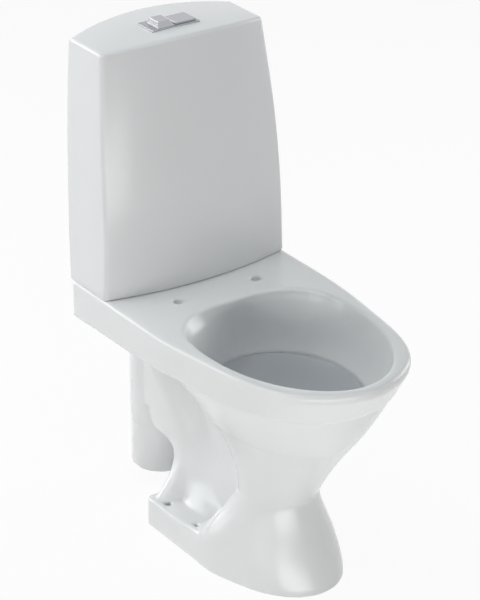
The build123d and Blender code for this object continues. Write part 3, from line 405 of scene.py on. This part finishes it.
# Button springs: copies of their CAD coils, which stand on the frame
for node, joint in (("full_button_spring", "full_press"), ("half_button_spring", "half_press")):
    coil_mesh = kept(copied(node), bpy.data.meshes.new(node + "_coil"))
    coil_mesh.materials.append(slots["spring_steel"])
    coil = shown(bpy.data.objects.new(node + "_coil", coil_mesh))
    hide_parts(node)
    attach(coil, "toilet")
    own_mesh(coil)

# Floor: plain and white to the eye, with a soft trace of the object's shadow
floor_half_width = 12
floor_whiteness = 0.93
grid = bmesh.new()
bmesh.ops.create_grid(grid, x_segments=12, y_segments=12, size=floor_half_width)
floor_mesh = kept(grid, bpy.data.meshes.new("floor"))
floor = shown(bpy.data.objects.new("floor", floor_mesh))
floor_paint = bpy.data.materials.new("floor_paint")
tree = emptied(floor_paint)
output = tree.nodes.new("ShaderNodeOutputMaterial")
matt = added(tree, "ShaderNodeBsdfDiffuse", {"Color": (0.9, 0.9, 0.9, 1)})
white = added(tree, "ShaderNodeEmission", {"Strength": 1.0})
part_white = added(tree, "ShaderNodeMath", {1: floor_whiteness})
part_white.operation = "MULTIPLY"
blend = blended(tree, matt, white)
joined(tree, seen_directly(tree), part_white.inputs[0])
joined(tree, part_white.outputs[0], blend.inputs["Fac"])
joined(tree, blend.outputs[0], output.inputs["Surface"])
floor_mesh.materials.append(floor_paint)

# World: an even soft light, white where it is seen
world = bpy.data.worlds.new("world")
scene.world = world
tree = emptied(world)
world_output = tree.nodes.new("ShaderNodeOutputWorld")
sky = added(tree, "ShaderNodeBackground", {"Color": (1.0, 0.99, 0.98, 1), "Strength": 0.02})
backdrop = added(tree, "ShaderNodeBackground", {"Color": (1, 1, 1, 1), "Strength": 1.0})
choice = blended(tree, sky, backdrop)
joined(tree, seen_directly(tree), choice.inputs["Fac"])
joined(tree, choice.outputs[0], world_output.inputs["Surface"])

# Soft boxes: name, place, width, height, power, colour
boxes = (
    ("top_box", (0.0, -0.2, 2.9), 2.2, 2.2, 21.0, (0.94, 0.98, 1.0)),
    ("left_over_box", (-1.6, 0.4, 2.8), 1.6, 1.6, 16.0, (0.98, 1.0, 1.0)),
    ("rear_left_box", (-2.2, 1.9, 1.6), 1.4, 1.6, 20.0, (0.97, 1.0, 1.0)),
    ("rear_box", (-1.0, 2.8, 1.4), 1.4, 1.6, 36.0, (1.0, 0.99, 0.99)),
    ("right_box", (2.6, 0.0, 1.2), 1.6, 1.8, 25.0, (0.98, 1.0, 1.0)),
    ("floor_front_box", (-0.7, -1.6, 0.03), 1.8, 1.0, 21.0, (1.0, 1.0, 0.98)),
    ("front_box", (-1.5, -2.7, 0.5), 1.2, 0.8, 2.5, (1.0, 0.94, 0.93)),
    ("low_left_box", (-2.4, -0.9, 0.45), 1.4, 0.8, 3.5, (1.0, 1.0, 0.98)),
)
aim = Vector((0, 0, 0.4))
for box_name, place, width, height, power, colour in boxes:
    light = bpy.data.lights.new(box_name, "AREA")
    light.shape = "RECTANGLE"
    light.size = width
    light.size_y = height
    light.energy = power
    light.color = colour
    lamp = shown(bpy.data.objects.new(box_name, light))
    lamp.location = place
    lamp.visible_camera = False
    lamp.rotation_euler = (aim - Vector(place)).to_track_quat("-Z", "Y").to_euler()

# Water: a still surface inside the bowl, an egg shape that is longer towards the front
water_level = 0.328
water_middle = -0.0935
water_half_width = 0.115
water_front = -0.246
water_rear = 0.035
ring_count = 8
step_count = 64
sheet = bmesh.new()
rings = []
for ring in range(1, ring_count + 1):
    share = ring / ring_count
    row = []
    for step in range(step_count):
        turn = 2 * math.pi * step / step_count
        reach = water_middle - water_front if math.cos(turn) > 0 else water_rear - water_middle
        x = water_half_width * share * math.sin(turn)
        y = water_middle - reach * share * math.cos(turn)
        row.append(sheet.verts.new((x, y, water_level)))
    rings.append(row)
centre = sheet.verts.new((0, water_middle, water_level))
for step in range(step_count):
    sheet.faces.new((centre, rings[0][step], rings[0][(step + 1) % step_count]))
for inner, outer in zip(rings, rings[1:]):
    for step in range(step_count):
        later = (step + 1) % step_count
        sheet.faces.new((inner[step], outer[step], outer[later], inner[later]))
bmesh.ops.recalc_face_normals(sheet, faces=sheet.faces)
water_mesh = kept(sheet, bpy.data.meshes.new("water"))
smooth(water_mesh)
water = shown(bpy.data.objects.new("water", water_mesh))
water_paint = bpy.data.materials.new("water_paint")
tree = emptied(water_paint)
output = tree.nodes.new("ShaderNodeOutputMaterial")
place = tree.nodes.new("ShaderNodeTexCoord")
# The water's grey is painted shade: a grey tint on the see-through share stands in for the dim
# bowl and trap seen below the surface, and its tone drifts at random
shade_drift = noise(tree, place, scale=8, detail=2).outputs["Fac"]
clear = tree.nodes.new("ShaderNodeBsdfTransparent")
shade_tint = between(tree, shade_drift, (0.62, 0.66, 0.69, 1), (0.66, 0.70, 0.73, 1))
joined(tree, shade_tint, clear.inputs["Color"])
# Painted shade of the deep water: a grey matt share of the surface that covers the dark trap below
painted_depth_shade = added(tree, "ShaderNodeBsdfDiffuse", {"Color": (0.56, 0.59, 0.615, 1)})
depth = blended(tree, clear, painted_depth_shade)
depth.inputs["Fac"].default_value = 0.7
ripple = added(tree, "ShaderNodeBump", {"Distance": 0.0004})
joined(tree, noise(tree, place, scale=12, detail=1).outputs["Fac"], ripple.inputs["Height"])
mirror = added(tree, "ShaderNodeBsdfGlossy", {"Roughness": 0.02})
joined(tree, ripple.outputs["Normal"], mirror.inputs["Normal"])
reflected = added(tree, "ShaderNodeFresnel", {"IOR": 1.33})
joined(tree, ripple.outputs["Normal"], reflected.inputs["Normal"])
surface = blended(tree, depth, mirror)
joined(tree, reflected.outputs[0], surface.inputs["Fac"])
joined(tree, surface.outputs[0], output.inputs["Surface"])
water_mesh.materials.append(water_paint)
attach(water, "toilet")
